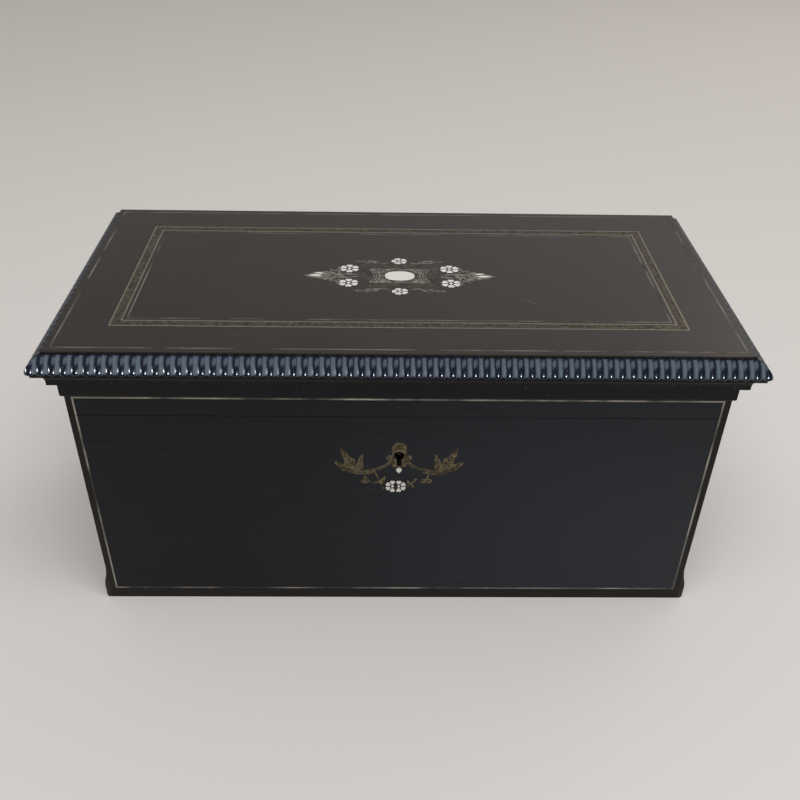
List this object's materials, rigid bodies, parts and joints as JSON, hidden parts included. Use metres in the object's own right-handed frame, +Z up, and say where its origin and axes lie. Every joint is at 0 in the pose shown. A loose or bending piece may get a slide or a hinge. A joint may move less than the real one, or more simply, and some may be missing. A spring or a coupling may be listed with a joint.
{
  "type": "deed box",
  "caption": "Ebonised wooden deed box with an overhanging ripple-moulded lid, brass string and pearl inlay, butt hinges and a box lock with a sliding bolt.",
  "frame": {"origin": "middle of the foot, on the surface that the box stands on", "axes": "+Z up, the front with the keyhole faces -Y, +X to the right of someone who faces the front"},
  "size_m": [0.4018, 0.1998, 0.195],
  "materials": {
    "carcass_wood": "plain sawn, hidden by veneer",
    "ebonised_wood": "ebonised and french polished, worn",
    "lining_cloth": "short-pile cloth glued on boards",
    "inlay_brass": "flush, dulled and engraved",
    "hinge_brass": "dull cast brass",
    "pearl": "polished mother-of-pearl shell",
    "brown_ground": "dark brown polished veneer",
    "lock_steel": "filed steel"
  },
  "bodies": {
    "box": {"front_board": "carcass_wood", "back_board": "carcass_wood", "left_board": "carcass_wood", "right_board": "carcass_wood", "bottom_board": "carcass_wood", "front_veneer": "ebonised_wood", "back_veneer": "ebonised_wood", "left_veneer": "ebonised_wood", "right_veneer": "ebonised_wood", "foot_strip_left": "ebonised_wood", "foot_strip_right": "ebonised_wood", "lining_front": "lining_cloth", "lining_back": "lining_cloth", "lining_left": "lining_cloth", "lining_right": "lining_cloth", "lining_floor": "lining_cloth", "front_string": "inlay_brass", "keyhole_inlay": "inlay_brass", "keyhole_flowers": "pearl", "lock_case": "lock_steel", "lock_cap": "lock_steel", "lock_drill_pin": "lock_steel", "lock_spring": "lock_steel", "lock_screws": "lock_steel", "hinge_leaves_box": "hinge_brass", "hinge_pins": "lock_steel", "hinge_screws_box": "hinge_brass"},
    "lid": {"lid_board": "carcass_wood", "rail_front": "carcass_wood", "rail_back": "carcass_wood", "rail_left": "carcass_wood", "rail_right": "carcass_wood", "top_veneer": "ebonised_wood", "frieze_front": "ebonised_wood", "frieze_back": "ebonised_wood", "frieze_left": "ebonised_wood", "frieze_right": "ebonised_wood", "ripple_front": "ebonised_wood", "ripple_back": "ebonised_wood", "ripple_left": "ebonised_wood", "ripple_right": "ebonised_wood", "cornice_front": "ebonised_wood", "cornice_back": "ebonised_wood", "cornice_left": "ebonised_wood", "cornice_right": "ebonised_wood", "edge_string": "inlay_brass", "wide_band": "inlay_brass", "inner_string": "inlay_brass", "lid_front_string": "inlay_brass", "cartouche_ground": "brown_ground", "cartouche_brass": "inlay_brass", "cartouche_flowers": "pearl", "cartouche_centre": "pearl", "link_plate": "lock_steel", "link_plate_screws": "lock_steel", "hinge_leaves_lid": "hinge_brass", "hinge_screws_lid": "hinge_brass", "lid_lining": "lining_cloth"},
    "bolt": {"lock_bolt": "lock_steel"}
  },
  "joints": [
    {"name": "lid_hinge", "type": "hinge", "parent": "box", "child": "lid", "pos_m": [0, 0.0897, 0.14915], "axis": [-1, 0, 0], "range_deg": [0, 100]},
    {"name": "bolt_slide", "type": "slide", "parent": "box", "child": "bolt", "axis": [1, 0, 0], "range_m": [0, 0.0045]}
  ]
}
